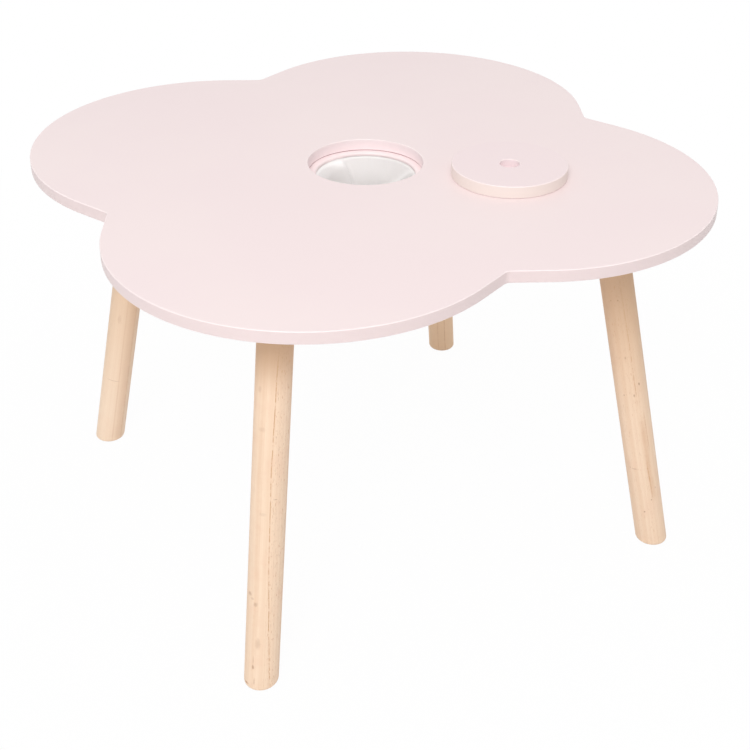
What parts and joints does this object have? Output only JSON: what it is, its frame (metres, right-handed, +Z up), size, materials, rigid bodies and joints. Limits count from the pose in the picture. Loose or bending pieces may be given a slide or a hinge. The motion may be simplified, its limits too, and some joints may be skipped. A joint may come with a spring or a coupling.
{
  "type": "kids table",
  "caption": "Low children's play table with a four-lobed flower-shaped top, splayed round wooden legs, and a lidded hole over a hanging cloth storage pouch.",
  "frame": {"origin": "on the floor, under the middle of the tabletop", "axes": "+Z up; the lobes and legs lie on the diagonals, the front leg towards -X -Y, and the notches between lobes face along X and Y"},
  "size_m": [0.5996, 0.5996, 0.4121],
  "materials": {
    "pink_paint": "satin pale pink paint over fibreboard",
    "lid_paint": "satin pale pink paint over fibreboard",
    "ledge_paint": "satin pale pink paint over thin fibreboard",
    "pouch_cloth": "white woven cotton",
    "bare_ply": "bare sanded plywood",
    "zinc_steel": "bright zinc plate",
    "leg_wood": "clear matt lacquer on pale wood"
  },
  "bodies": {
    "table": {"tabletop": "pink_paint", "ledge_ring": "ledge_paint", "storage_pouch": "pouch_cloth", "pouch_clamp_ring": "bare_ply", "ring_screws": "zinc_steel", "leg_front": "leg_wood", "leg_right": "leg_wood", "leg_back": "leg_wood", "leg_left": "leg_wood", "leg_plate_front": "zinc_steel", "leg_plate_right": "zinc_steel", "leg_plate_back": "zinc_steel", "leg_plate_left": "zinc_steel", "hanger_bolt_front": "zinc_steel", "hanger_bolt_right": "zinc_steel", "hanger_bolt_back": "zinc_steel", "hanger_bolt_left": "zinc_steel", "plate_screws_front": "zinc_steel", "plate_screws_right": "zinc_steel", "plate_screws_back": "zinc_steel", "plate_screws_left": "zinc_steel"},
    "lid": {"lid": "lid_paint"}
  },
  "joints": [
    {"name": "lid_lift", "type": "slide", "parent": "table", "child": "lid", "axis": [0, 0, 1], "range_m": [0, 0.08]}
  ]
}
